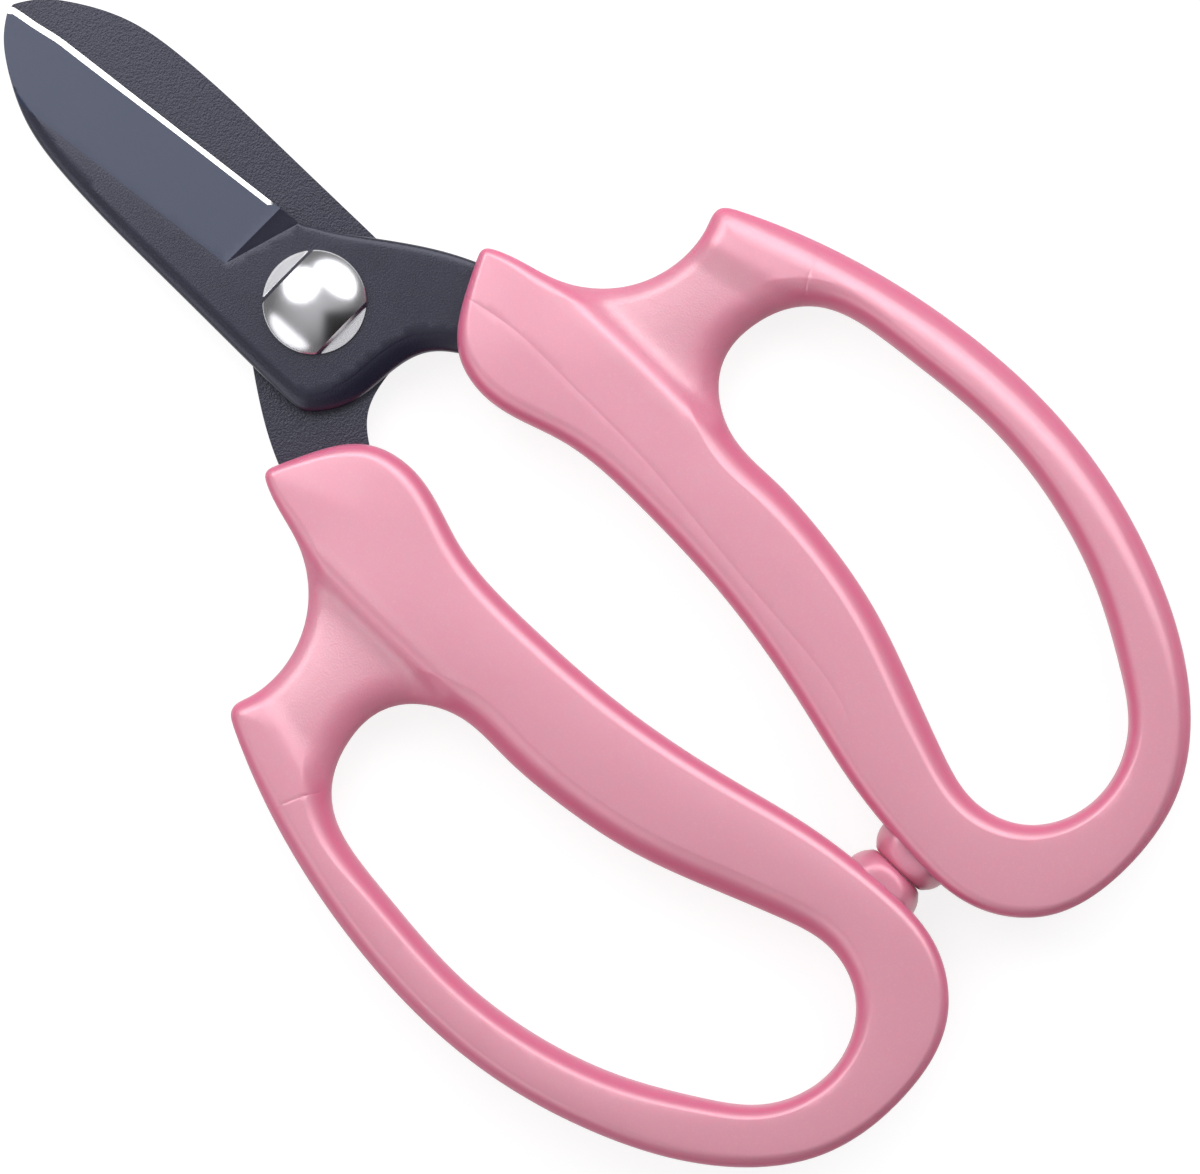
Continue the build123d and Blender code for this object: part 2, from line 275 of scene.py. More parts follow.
class Plan:
    """The triangulated plan of a flat form: loops of its edge, rings beside them, lines and a fill."""

    def __init__(self, loops, insets, lines=(), fill=0.8, line_half=0.1):
        self.loops = loops
        self.points = []
        self.cells = {}
        self.cell = 0.14
        edges = []
        for loop in loops:
            first = len(self.points)
            for place in loop:
                self.add(place, force=True)
            edges += [(first + i, first + (i + 1) % len(loop)) for i in range(len(loop))]
        for loop, widths in zip(loops, insets):
            self.add_rings(loop, widths)
        for line in lines:
            self.add_line(line, line_half)
        self.add_fill(fill)
        made = geometry.delaunay_2d_cdt(
            [Vector(p) for p in self.points], edges, [], 0, 1e-6, True)
        self.xy = np.array([tuple(v) for v in made[0]])
        renamed = {old: new for new, olds in enumerate(made[3]) for old in olds}
        triangles = np.array([f for f in made[2] if len(f) == 3])
        middle = self.xy[triangles].mean(axis=1)
        keep = inside(middle, loops[0])
        for hole in loops[1:]:
            keep &= ~inside(middle, hole)
        triangles = triangles[keep]
        a, b, c = (self.xy[triangles[:, i]] for i in range(3))
        turn = (b - a)[:, 0] * (c - a)[:, 1] - (b - a)[:, 1] * (c - a)[:, 0]
        triangles[turn < 0] = triangles[turn < 0][:, ::-1]
        self.triangles = triangles
        self.rims = []
        first = 0
        for loop in loops:
            self.rims.append([renamed[first + i] for i in range(len(loop))])
            first += len(loop)

    def near(self, place, gap):
        cx, cy = int(math.floor(place[0] / self.cell)), int(math.floor(place[1] / self.cell))
        reach = int(math.ceil(gap / self.cell))
        for i in range(cx - reach, cx + reach + 1):
            for j in range(cy - reach, cy + reach + 1):
                for other in self.cells.get((i, j), ()):
                    dx, dy = other[0] - place[0], other[1] - place[1]
                    if dx * dx + dy * dy < gap * gap:
                        return True
        return False

    def add(self, place, force=False, gap=0.06):
        place = (float(place[0]), float(place[1]))
        if not force and self.near(place, gap):
            return
        self.points.append(place)
        key = (int(math.floor(place[0] / self.cell)), int(math.floor(place[1] / self.cell)))
        self.cells.setdefault(key, []).append(place)

    def add_rings(self, loop, widths):
        """Rows of points beside a loop. Each width is a number, or one number for each point."""
        normals = inward(loop)
        for width in widths:
            width = np.broadcast_to(width, len(loop))
            ring = loop + normals * width[:, None]
            gap = np.min([distance_to(ring, other)[0] for other in self.loops], axis=0)
            for place, true_gap, wanted in zip(ring, gap, width):
                if true_gap > wanted * 0.97:
                    self.add(place, gap=max(0.05, min(0.12, wanted * 0.5)))

    def add_line(self, line, half):
        along = np.gradient(line, axis=0)
        along /= np.linalg.norm(along, axis=1)[:, None]
        normals = np.stack([-along[:, 1], along[:, 0]], axis=1)
        rows = np.concatenate([line, line + normals * half, line - normals * half]) if half else line
        allowed = inside(rows, self.loops[0])
        for hole in self.loops[1:]:
            allowed &= ~inside(rows, hole)
        gap = np.min([distance_to(rows, loop)[0] for loop in self.loops], axis=0)
        for place, ok, true_gap in zip(rows, allowed, gap):
            if ok and true_gap > 0.04:
                self.add(place, gap=0.04)

    def add_fill(self, spacing):
        """A triangular grid over the rest of the plan."""
        low, high = self.loops[0].min(axis=0), self.loops[0].max(axis=0)
        rise = spacing * math.sqrt(3) / 2
        rows = np.arange(low[1], high[1], rise)
        grid = [
            (x + (row % 2) * spacing / 2, y)
            for row, y in enumerate(rows)
            for x in np.arange(low[0], high[0], spacing)
        ]
        grid = np.array(grid)
        allowed = inside(grid, self.loops[0])
        for hole in self.loops[1:]:
            allowed &= ~inside(grid, hole)
        grid = grid[allowed]
        for place in grid:
            self.add(place, gap=0.45 * spacing)


def plate_mesh(name, plan, top, bottom, wall_rows):
    """A closed mesh in millimetres: the plan's two faces at their heights, joined by curved walls.

    wall_rows are (share of the way from one rim to the other, how far out of the rim)."""
    count = len(plan.xy)
    verts = [np.column_stack([plan.xy, top]), np.column_stack([plan.xy, bottom])]
    faces = [tuple(t) for t in plan.triangles]
    faces += [tuple(t[::-1] + count) for t in plan.triangles]
    kinds = [0] * len(plan.triangles) + [1] * len(plan.triangles)
    total = 2 * count
    for rim, loop in zip(plan.rims, plan.loops):
        rim = np.array(rim)
        normals = inward(loop)
        previous = rim
        for share, out in wall_rows:
            height = top[rim] + share * (bottom[rim] - top[rim])
            verts.append(np.column_stack([plan.xy[rim] - normals * out, height]))
            row = total + np.arange(len(rim))
            total += len(rim)
            for i in range(len(rim)):
                j = (i + 1) % len(rim)
                faces.append((previous[i], row[i], row[j], previous[j]))
                kinds.append(2)
            previous = row
        last = rim + count
        for i in range(len(rim)):
            j = (i + 1) % len(rim)
            faces.append((previous[i], last[i], last[j], previous[j]))
            kinds.append(2)
    return new_mesh(name, np.vstack(verts), faces, kinds)


def new_mesh(name, verts, faces, kinds=None):
    mesh = bpy.data.meshes.new(name)
    mesh.from_pydata([tuple(v) for v in np.asarray(verts) * MM], [], [tuple(map(int, f)) for f in faces])
    mesh.validate()
    mesh.update()
    mesh.polygons.foreach_set("use_smooth", [True] * len(mesh.polygons))
    if kinds is not None and len(kinds) == len(mesh.polygons):
        mesh.polygons.foreach_set("material_index", kinds)
    return mesh


def joined(name, meshes):
    """One mesh with the faces of several."""
    verts, faces = [], []
    for mesh in meshes:
        first = len(verts)
        verts += [tuple(v.co / MM) for v in mesh.vertices]
        faces += [[first + v for v in polygon.vertices] for polygon in mesh.polygons]
        bpy.data.meshes.remove(mesh)
    return new_mesh(name, verts, faces)


def set_sharp(mesh, angle):
    """Marks edges that turn by more than an angle as sharp."""
    mesh.set_sharp_from_angle(angle=math.radians(angle))


def turned_mesh(mesh, name):
    """The rear half's copy of a front piece."""
    copy = mesh.copy()
    copy.name = name
    co = np.zeros(len(copy.vertices) * 3)
    copy.vertices.foreach_get("co", co)
    co = co.reshape(-1, 3)
    co[:, 1] *= -1
    co[:, 2] = 2 * MID * MM - co[:, 2]
    copy.vertices.foreach_set("co", co.ravel())
    copy.update()
    return copy


def point_attribute(mesh, name, values):
    attribute = mesh.attributes.new(name, "FLOAT", "POINT")
    attribute.data.foreach_set("value", np.asarray(values, np.float32))


def place_piece(mesh, node, body, materials):
    """Puts a finished mesh in the scene, in place of its CAD node."""
    piece = bpy.data.objects.new(node + "_finish", mesh)
    bpy.context.scene.collection.objects.link(piece)
    for material in materials:
        piece.data.materials.append(material)
    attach(piece, body)
    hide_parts(node)
    return piece


# ==== Materials ====

class Nodes:
    """A short way to write a node tree."""

    def __init__(self, tree):
        self.tree = tree

    def add(self, kind, inputs=None, **settings):
        node = self.tree.nodes.new(kind)
        for key, value in settings.items():
            setattr(node, key, value)
        for key, value in (inputs or {}).items():
            self.set(node.inputs[key], value)
        return node

    def set(self, socket, value):
        if isinstance(value, bpy.types.NodeSocket):
            self.tree.links.new(value, socket)
        else:
            socket.default_value = value

    def noise(self, scale, detail=2.0, roughness=0.5, vector=None):
        inputs = {"Scale": scale, "Detail": detail, "Roughness": roughness}
        if vector is not None:
            inputs["Vector"] = vector
        return self.add("ShaderNodeTexNoise", inputs).outputs["Fac"]

    def math(self, operation, a, b=0.0):
        node = self.add("ShaderNodeMath", operation=operation)
        self.set(node.inputs[0], a)
        self.set(node.inputs[1], b)
        return node.outputs[0]

    def span(self, value, low, high, to_low, to_high):
        inputs = {"Value": value, "From Min": low, "From Max": high, "To Min": to_low, "To Max": to_high}
        return self.add("ShaderNodeMapRange", inputs).outputs["Result"]

    def mix(self, share, a, b):
        node = self.add("ShaderNodeMix", data_type="RGBA")
        self.set(node.inputs["Factor"], share)
        self.set(node.inputs[6], a)
        self.set(node.inputs[7], b)
        return node.outputs[2]

    def bump(self, height, strength, distance, normal=None):
        inputs = {"Height": height, "Strength": strength, "Distance": distance}
        if normal is not None:
            inputs["Normal"] = normal
        return self.add("ShaderNodeBump", inputs).outputs["Normal"]


def new_material(name):
    material = bpy.data.materials.new(name)
    material.use_nodes = True
    tree = material.node_tree
    tree.nodes.clear()
    nodes = Nodes(tree)
    place = nodes.add("ShaderNodeTexCoord").outputs["Object"]
    shader = nodes.add("ShaderNodeBsdfPrincipled")
    output = nodes.add("ShaderNodeOutputMaterial")
    tree.links.new(shader.outputs["BSDF"], output.inputs["Surface"])
    return material, nodes, shader, place


def set_all(nodes, shader, **values):
    """Sets the shader's sockets, each to a constant or to a node's output."""
    names = {
        "base": "Base Color", "metallic": "Metallic", "roughness": "Roughness", "ior": "IOR",
        "normal": "Normal", "specular": "Specular IOR Level", "specular_tint": "Specular Tint",
        "coat": "Coat Weight", "coat_roughness": "Coat Roughness", "coat_ior": "Coat IOR",
        "under_skin": "Subsurface Weight", "under_radius": "Subsurface Radius",
        "under_scale": "Subsurface Scale",
    }
    for key, value in values.items():
        nodes.set(shader.inputs[names[key]], value)


# ---- Colours ----

PINK = (0.670, 0.264, 0.362, 1.0)
PINK_DEEP = (0.660, 0.238, 0.336, 1.0)
PINK_PALE = (0.660, 0.400, 0.460, 1.0)
# the deep pink painted on steep walls, rounds and the sunk web as shade
PINK_PAINTED_SHADE = (0.640, 0.072, 0.210, 1.0)
MICA = (0.93, 0.62, 0.68, 1.0)
WARM_GLOSS = (1.0, 0.93, 0.78, 1.0)
COAT_GREY = (0.0112, 0.0105, 0.0215, 1.0)
BEVEL_BLUE = (0.009, 0.014, 0.037, 1.0)
COAT_GLOSS = (0.84, 0.87, 1.0, 1.0)


def grip_material(name):
    """Pearly pink plastic: a fine mica shimmer in the colour, and a grain where the mould has one.

    The walls and steep rounds are painted a deeper pink as shade, and are more matt."""
    material, nodes, shader, place = new_material(name)
    cloud = nodes.noise(70.0, 3.0, 0.55, place)
    mica = nodes.noise(5200.0, 1.0, 0.5, place)
    colour = nodes.mix(nodes.span(cloud, 0.35, 0.65, 0.0, 0.35), PINK, PINK_DEEP)
    colour = nodes.mix(nodes.span(mica, 0.55, 0.75, 0.0, 0.09), colour, MICA)
    # painted shade: a deep pink mixed in on steep walls and rounds, and in the sunk web near the hole
    painted_shade = nodes.add("ShaderNodeAttribute", attribute_name="painted_shade").outputs["Fac"]
    colour = nodes.mix(nodes.math("MULTIPLY", painted_shade, 0.50), colour, PINK_PAINTED_SHADE)
    grain = nodes.add("ShaderNodeAttribute", attribute_name="grain").outputs["Fac"]
    colour = nodes.mix(nodes.math("MULTIPLY", grain, 0.22), colour, PINK_PALE)
    grit = nodes.noise(4200.0, 1.0, 0.5, place)
    soft = nodes.noise(420.0, 2.0, 0.5, place)
    fine = nodes.bump(nodes.math("MULTIPLY", grit, grain), 0.55, 0.00010)
    normal = nodes.bump(soft, 0.10, 0.00010, fine)
    rough = nodes.span(soft, 0.3, 0.7, 0.36, 0.42)
    rough = nodes.math("ADD", rough, nodes.math("MULTIPLY", grain, 0.10))
    set_all(
        nodes, shader, base=colour, metallic=nodes.span(painted_shade, 0.0, 1.0, 0.20, 0.05), roughness=rough,
        normal=normal, ior=1.5, specular=nodes.span(painted_shade, 0.0, 1.0, 0.5, 0.15),
        specular_tint=WARM_GLOSS, coat=nodes.span(painted_shade, 0.0, 1.0, 0.9, 0.08),
        coat_roughness=0.40, coat_ior=1.9,
        under_skin=0.6, under_radius=(1.0, 0.20, 0.30), under_scale=0.0028,
    )
    return material


def coat_material(name, base, roughness, wrinkle_scale, wrinkle, fine):
    """The baked coat on the steel: wrinkled as sprayed, or smoother where it was ground first."""
    material, nodes, shader, place = new_material(name)
    swirls = nodes.noise(wrinkle_scale, 0.6, 0.5, place)
    grit = nodes.noise(wrinkle_scale * 2.3, 2.0, 0.6, place)
    height = nodes.math("ADD", swirls, nodes.math("MULTIPLY", grit, 0.35))
    patches = nodes.noise(260.0, 3.0, 0.6, place)
    paler = tuple(c * 1.2 for c in base[:3]) + (1.0,)
    colour = nodes.mix(nodes.span(patches, 0.3, 0.7, 0.0, 0.7), base, paler)
    normal = nodes.bump(height, wrinkle, fine)
    rough = nodes.span(patches, 0.2, 0.8, roughness - 0.03, roughness + 0.03)
    set_all(
        nodes, shader, base=colour, metallic=0.0, roughness=rough, normal=normal, ior=1.5,
        specular=0.62, specular_tint=COAT_GLOSS,
    )
    return material


def ground_steel_material(name):
    """Bright steel with the fine lines that the stone leaves square to the edge."""
    material, nodes, shader, place = new_material(name)
    stretched = nodes.add("ShaderNodeMapping", {"Vector": place, "Scale": (9000.0, 300.0, 300.0)})
    lines = nodes.noise(1.0, 2.0, 0.5, stretched.outputs["Vector"])
    normal = nodes.bump(lines, 0.12, 0.00002)
    tone = nodes.mix(lines, (0.90, 0.90, 0.90, 1.0), (0.97, 0.97, 0.97, 1.0))
    rough = nodes.span(lines, 0.3, 0.7, 0.26, 0.36)
    set_all(nodes, shader, base=tone, metallic=1.0, roughness=rough, normal=normal)
    return material


def plated_material(name, tone, roughness, line_scale):
    """Bright plating with a faint turned or drawn finish."""
    material, nodes, shader, place = new_material(name)
    haze = nodes.noise(line_scale, 3.0, 0.6, place)
    darker = tuple(c * 0.93 for c in tone[:3]) + (1.0,)
    colour = nodes.mix(haze, darker, tone)
    rough = nodes.span(haze, 0.2, 0.8, roughness * 0.92, roughness * 1.08)
    normal = nodes.bump(haze, 0.03, 0.00002)
    set_all(nodes, shader, base=colour, metallic=1.0, roughness=rough, normal=normal)
    return material


# ==== Grips ====

GRIP_SPACING = 0.5
NOSE_ROUND = 2.0                # plan rounding of the nose's corners, and of the horn's
HORN_ROUND = 3.4
HORN_OUT = 30.0                 # corners further out than this are the horn's
DRAFT = 0.08                    # how far the walls lean in from the parting line to the rounds

# Rounds along the edges. At each place of the front grip (back, out): how far the round reaches
# into the face and how far it falls there, on the marked face and then on the plain one.
OUTER_ROUNDS = (
    ((9.9, 18.0), 0.8, 1.1, 0.8, 1.1), ((12.6, 12.9), 1.1, 1.6, 1.2, 1.6),
    ((23.0, 6.2), 2.4, 2.6, 2.4, 2.6), ((45.0, 9.8), 2.4, 2.6, 2.4, 2.6),
    ((76.0, 6.3), 2.0, 2.3, 2.0, 2.3), ((88.0, 5.2), 1.8, 2.0, 1.8, 2.0),
    ((98.6, 2.4), 1.5, 1.6, 1.5, 1.6), ((108.0, 6.0), 1.6, 1.9, 1.6, 1.9),
    ((118.3, 19.0), 1.1, 1.4, 1.1, 1.4), ((107.9, 41.0), 2.6, 3.0, 1.8, 2.3),
    ((70.0, 53.2), 4.4, 3.6, 2.0, 2.5), ((42.0, 49.0), 3.8, 3.4, 2.0, 2.5),
    ((33.0, 46.0), 4.0, 2.4, 1.5, 1.8), ((27.0, 43.0), 2.6, 1.7, 1.1, 1.5),
    ((28.2, 36.2), 2.2, 2.0, 2.2, 2.0), ((19.0, 22.5), 2.0, 2.0, 2.2, 2.1),
    ((11.5, 19.9), 1.0, 1.3, 1.1, 1.4),
)
HOLE_ROUNDS = (
    ((39.9, 34.0), 4.4, 2.7, 4.8, 2.8), ((47.8, 23.8), 3.2, 2.8, 3.5, 2.8),
    ((63.0, 22.9), 2.8, 2.8, 3.2, 2.8), ((86.0, 16.6), 2.8, 2.6, 3.2, 2.6),
    ((99.0, 12.5), 2.2, 2.2, 2.6, 2.2), ((107.5, 17.5), 1.5, 1.6, 1.5, 1.6),
    ((109.9, 24.0), 1.2, 1.5, 1.2, 1.5), ((106.6, 32.0), 1.5, 1.7, 1.5, 1.7),
    ((92.0, 41.3), 1.8, 2.2, 1.9, 2.2), ((70.0, 46.3), 1.8, 2.3, 1.9, 2.3),
    ((55.0, 45.2), 1.9, 2.3, 2.0, 2.3), ((44.7, 42.6), 3.0, 2.5, 3.0, 2.5),
)
HOLE_ARRIS = 0.26               # slope at which the rounds round the hole begin
PAINTED_SHADE_START = 0.97              # upright share of the surface's normal where painted shade starts to deepen the colour
PAINTED_SHADE_END = 0.58

CROWN = 0.65                    # how far the faces fall away on both sides of their crest
TAIL_CROWN = 0.15
TAIL_START = 92.0               # back: where the crown starts to flatten towards the tail
TAIL_RUN = 16.0
CREST_SHARE = 0.45              # where the crest runs: from the outer edge to the hole
LOOP_CREST_SHARE = 0.72         # on the marked face's loop, and out: where the loop takes over
LOOP_START = 26.0
LOOP_RUN = 12.0

# The sunk web between the stem and the loop
WEB_STEM_START = 21.4           # out: where the stem starts to slope down to it
WEB_STEP_RUN = 3.2              # the steep step down from the stem
WEB_STEP_SINK = 1.5
WEB_DISH_RUN = 8.5              # the long hollow slope below it
WEB_DISH_SINK = 1.05
WEB_LEDGE_OUT = (38.9, 40.3)    # out: top of the loop's ledge at the waist, marked face and plain
WEB_LEDGE_SINK = (1.45, 1.1)
WEB_LEDGE_RISE = 0.24           # how much further out it lies, per step back
WEB_LEDGE_RUN = 4.6
WAIST_BACK = 28.2
WEB_FADE_START = 41.0           # back: where the web starts to fade out beside the finger hole
WEB_FADE_RUN = 8.0
WEB_PAINTED_SHADE = 0.8                 # painted shade in the sunk web: how far the colour deepens at the hole's rim, and over what reach
WEB_PAINTED_SHADE_REACH = 6.5

CREASE = (
    (12.2, 13.1), (16.0, 13.9), (20.0, 14.5), (25.0, 14.6), (30.0, 14.5), (40.0, 14.3), (50.0, 13.4),
    (60.0, 12.3), (70.0, 11.4), (78.0, 10.2), (82.0, 8.6), (84.5, 6.6), (86.5, 5.2),
)
KNIT_LINE = ((41.9, 42.1), (41.1, 43.2), (40.3, 44.7), (39.6, 46.3), (39.2, 47.6), (39.0, 48.9))
GROOVE_HALF = 0.12              # half the width of both lines, and the depth of each
CREASE_DEPTH = 0.04
KNIT_DEPTH = 0.05


def behind(points):
    """Places of the front grip, from (back, out) to (x, y)."""
    return -np.asarray(points, float)


def along_loop(loop, marks):
    """Reach and fall of the round at each point of a loop, eased from mark to mark."""
    places = behind([mark[0] for mark in marks])
    nearest = [int(np.linalg.norm(loop - place, axis=1).argmin()) for place in places]
    order = np.argsort(nearest)
    at = np.array(nearest)[order]
    count = len(loop)
    values = []
    for column in range(1, len(marks[0])):
        levels = np.array([mark[column] for mark in marks])[order]
        level = np.interp(np.arange(count), at, levels, period=count)
        window = np.hanning(31)
        window /= window.sum()
        wrapped = np.concatenate([level[-15:], level, level[:15]])
        values.append(np.convolve(wrapped, window, mode="valid"))
    return values


def web_sink(back, out, marked):
    """Depth of the sunk web below the face."""
    ledge_out, ledge_sink = (levels[0 if marked else 1] for levels in (WEB_LEDGE_OUT, WEB_LEDGE_SINK))
    ledge = ledge_out + WEB_LEDGE_RISE * (back - WAIST_BACK)
    foot = WEB_STEM_START + WEB_DISH_RUN / 2
    across = np.clip((out - foot) / (ledge - WEB_LEDGE_RUN - foot), 0, 1)
    deepest = WEB_STEP_SINK + WEB_DISH_SINK
    depth = 1 - across * (1 - ledge_sink / deepest)
    down = np.clip(out - WEB_STEM_START - WEB_STEP_RUN / 3, 0, None)
    from_stem = WEB_STEP_SINK * ease((out - WEB_STEM_START) / WEB_STEP_RUN)
    down = down * down / (down + 1.0) / WEB_DISH_RUN
    from_stem += WEB_DISH_SINK * (1 - (1 - np.clip(down, 0, 1)) ** 3)
    from_loop = ease((ledge - out) / WEB_LEDGE_RUN)
    fade = 1 - ease((back - WEB_FADE_START) / WEB_FADE_RUN)
    return depth * from_stem * from_loop * fade


def grip_height(points, loops, marked):
    """Height of the grip's face above its middle plane."""
    back, out = -points[:, 0], -points[:, 1]
    (to_edge, edge_at), (to_hole, hole_at) = (distance_to(points, loop) for loop in loops)
    face = slice(0, 2) if marked else slice(2, 4)
    outer_reach, outer_fall = (v[edge_at] for v in along_loop(loops[0], OUTER_ROUNDS)[face])
    hole_reach, hole_fall = (v[hole_at] for v in along_loop(loops[1], HOLE_ROUNDS)[face])
    share = to_edge / (to_edge + to_hole)
    on_loop = ease((out - LOOP_START) / LOOP_RUN) if marked else 0.0
    crest = CREST_SHARE + (LOOP_CREST_SHARE - CREST_SHARE) * on_loop
    outside = np.clip((crest - share) / crest, 0, 1)
    beyond = np.clip((share - crest) / (1 - crest), 0, 1)
    crown = CROWN + (TAIL_CROWN - CROWN) * ease((back - TAIL_START) / TAIL_RUN)
    crown = crown * (outside ** 2 + beyond ** 2)
    sink = web_sink(back, out, marked)
    height = HALF_GRIP - crown - sink
    height -= quarter_round(to_edge, outer_reach, outer_fall)
    height -= quarter_round(to_hole, hole_reach, hole_fall)
    arris = HOLE_ARRIS * (1 - ease(sink))
    height -= arris * np.clip(hole_reach - to_hole, 0, None)
    height -= groove(points, smooth_curve(behind(KNIT_LINE), 0.2), GROOVE_HALF, KNIT_DEPTH)
    if marked:
        height -= groove(points, smooth_curve(behind(CREASE), 0.2), GROOVE_HALF, CREASE_DEPTH)
    return height


def build_grip():
    rim = level_loops("front_grip", MID + HALF_GRIP - 2.2, True)[0]
    outline, corners = even_loop(rim, GRIP_SPACING / 2, True)
    sharp = outline[corners]
    radii = [HORN_ROUND if y < -HORN_OUT else NOSE_ROUND for _, y in sharp]
    outline = soften_corners(outline, corners, radii)
    near_corner = np.min([np.linalg.norm(outline - place, axis=1) for place in sharp], axis=0)
    outline = outline[(near_corner < 2.0) | (np.arange(len(outline)) % 2 == 0)]
    hole_rim = level_loops("front_grip", MID + HALF_GRIP - 3.0, True)[0]
    hole, _ = even_loop(hole_rim, GRIP_SPACING, False)
    loops = [loop + DRAFT * inward(loop) for loop in (outline, hole)]
    steps = [1 - math.cos(math.radians(a)) for a in (14, 26, 37, 48, 59, 70, 80)] + [0.96, 1.0, 1.05]
    insets = []
    for loop, marks in zip(loops, (OUTER_ROUNDS, HOLE_ROUNDS)):
        marked_reach, _, plain_reach, _ = along_loop(loop, marks)
        insets.append([reach * s for reach in (marked_reach, plain_reach) for s in steps])
    lines = [smooth_curve(behind(CREASE), 0.22), smooth_curve(behind(KNIT_LINE), 0.22)]
    plan = Plan(loops, insets, lines, fill=0.8)
    top = grip_height(plan.xy, loops, marked=True)
    bottom = grip_height(plan.xy, loops, marked=False)
    rows = [
        (0.12, 0.4 * DRAFT), (0.30, 0.68 * DRAFT), (0.44, 0.76 * DRAFT), (0.488, 0.78 * DRAFT),
        (0.50, DRAFT - 0.01), (0.512, 0.78 * DRAFT), (0.56, 0.76 * DRAFT), (0.70, 0.68 * DRAFT),
        (0.88, 0.4 * DRAFT),
    ]
    mesh = plate_mesh("front_grip_finish", plan, MID + top, MID - bottom, rows)
    co = np.array([tuple(v.co) for v in mesh.vertices]) / MM
    back, out = -co[:, 0], -co[:, 1]
    # painted shade: the colour deepens on the steep walls and rounds, by how far their normal leans from
    # upright
    upright = np.array([abs(v.normal.z) for v in mesh.vertices])
    painted_shade = ease((PAINTED_SHADE_START - upright) / (PAINTED_SHADE_START - PAINTED_SHADE_END))
    to_hole, _ = distance_to(co[:, :2], loops[1])
    # painted shade in the sunk web: the colour deepens towards the finger hole's rim
    sunk = ease(web_sink(back, out, False) / 0.8)
    web_painted_shade = WEB_PAINTED_SHADE * sunk * ease(1 - to_hole / WEB_PAINTED_SHADE_REACH)
    point_attribute(mesh, "painted_shade", np.maximum(painted_shade, web_painted_shade))
    band = ease(1 - np.abs(out - WEB_STEM_START + 0.5) / 0.9)
    band *= ease((back - 16) / 4) * ease((52 - back) / 8)
    web = np.clip(1.3 * web_sink(back, out, False) - 0.4, 0, 1)
    point_attribute(mesh, "grain", np.maximum(web, 0.6 * band))
    mesh.polygons.foreach_set("material_index", [0] * len(mesh.polygons))
    return mesh


# ==== Blades ====

EDGE_ROOT = (8.0, -5.6)
EDGE_BEND = (43.7, -1.6)
BEVEL_START = 11.0
BEVEL_WIDTH = 9.4
BEVEL_LAND = 0.45
BEVEL_TOP = (BEVEL_START, 4.17)     # corner where the bevel's end meets the outer face
BEVEL_FOOT = (BEVEL_START, -5.264)  # corner where its end meets the edge
BEVEL_AHEAD = (44.5, 7.93)          # a place further along its border with the outer face
EDGE_THICK = 0.08                   # the least thickness, at the cutting edge
STRIP_START = 12.0
STRIP_WIDTH = 0.60
STRIP_TIP_WIDTH = 0.74
STRIP_SLOPE = 0.39
ARRIS = 0.05
ROUND_SLOPE = 0.30              # slope at which the rounds begin
ROUND_STEP = 0.05               # the fine step at their border, and its width
ROUND_STEP_RUN = 0.14

# Rounds along the blade's outline: place, reach into the face, fall
BLADE_ROUNDS = (
    ((BLADE_TIP, 0.0), 0.25, 0.3), ((48.0, 4.2), 0.8, 0.6), ((40.0, 8.8), 1.35, 0.9),
    ((20.0, 10.6), 1.35, 0.9), ((-2.0, 10.8), 1.35, 1.0), ((-8.0, 10.6), 2.0, 1.1),
    ((-11.3, 6.5), 2.7, 1.5), ((-12.5, -0.5), 2.7, 1.5), ((-14.0, -5.2), 2.6, 1.5),
    ((-17.0, -7.9), 2.4, 1.4), ((-60.0, -12.5), 1.0, 0.6), ((-60.0, -20.9), 1.0, 0.6),
    ((-23.0, -20.4), 1.0, 0.6), ((-5.0, -14.2), 1.0, 0.6), ((4.0, -7.9), 0.9, 0.5),
    ((8.0, -5.6), 0.4, 0.3), ((12.0, -5.2), 0.12, 0.02), ((44.0, -1.6), 0.12, 0.02),
)


def in_from_edge(points):
    """Distance square in from the straight edge's line."""
    run = np.subtract(EDGE_BEND, EDGE_ROOT)
    run = run / np.linalg.norm(run)
    normal = np.array([-run[1], run[0]])
    return (points - np.array(EDGE_ROOT)) @ normal


def strip_width(x):
    """Width of the sharpened strip, with its rounded end and its wider tip."""
    t = np.clip((x - STRIP_START) / STRIP_WIDTH, 0, 1)
    rounded = np.sqrt(np.clip(1 - (1 - t) ** 2, 0, 1))
    return (STRIP_WIDTH + (STRIP_TIP_WIDTH - STRIP_WIDTH) * ease((x - 25) / 17)) * rounded


def strip_border(edge):
    """The inner border of the sharpened strip, closely spaced round its rounded end."""
    run = np.concatenate([[0], np.cumsum(np.linalg.norm(np.diff(edge, axis=0), axis=1))])
    start = np.interp(STRIP_START, edge[:, 0], run)
    turn = np.linspace(0, math.pi / 2, 16)
    rounded = start + STRIP_WIDTH * (1 - np.cos(turn))
    places = np.concatenate([rounded, np.arange(start + STRIP_WIDTH + 0.2, run[-1] - 0.3, 0.25)])
    foot = np.stack([np.interp(places, run, edge[:, i]) for i in (0, 1)], axis=1)
    along = np.gradient(foot, axis=0)
    along /= np.linalg.norm(along, axis=1)[:, None]
    return foot + np.stack([-along[:, 1], along[:, 0]], axis=1) * strip_width(foot[:, 0])[:, None]


def plane_through(a, b, c):
    """Height function of the plane through three points (x, y, height)."""
    matrix = np.array([[p[0], p[1], 1.0] for p in (a, b, c)])
    k = np.linalg.solve(matrix, np.array([p[2] for p in (a, b, c)]))
    return lambda points: points[:, 0] * k[0] + points[:, 1] * k[1] + k[2]


def blade_marks(outline):
    """Reach and fall of the round at each point of the blade's outline."""
    return along_loop(outline, [((-x, -y), reach, fall) for (x, y), reach, fall in BLADE_ROUNDS])


def edge_curve(outline):
    """The cutting edge: the outline from the root of the edge to the tip."""
    root = int(np.linalg.norm(outline - np.array(EDGE_ROOT), axis=1).argmin())
    tip = int(outline[:, 0].argmax())
    count = len(outline)
    span = [(root + i) % count for i in range((tip - root) % count + 1)]
    return outline[span]


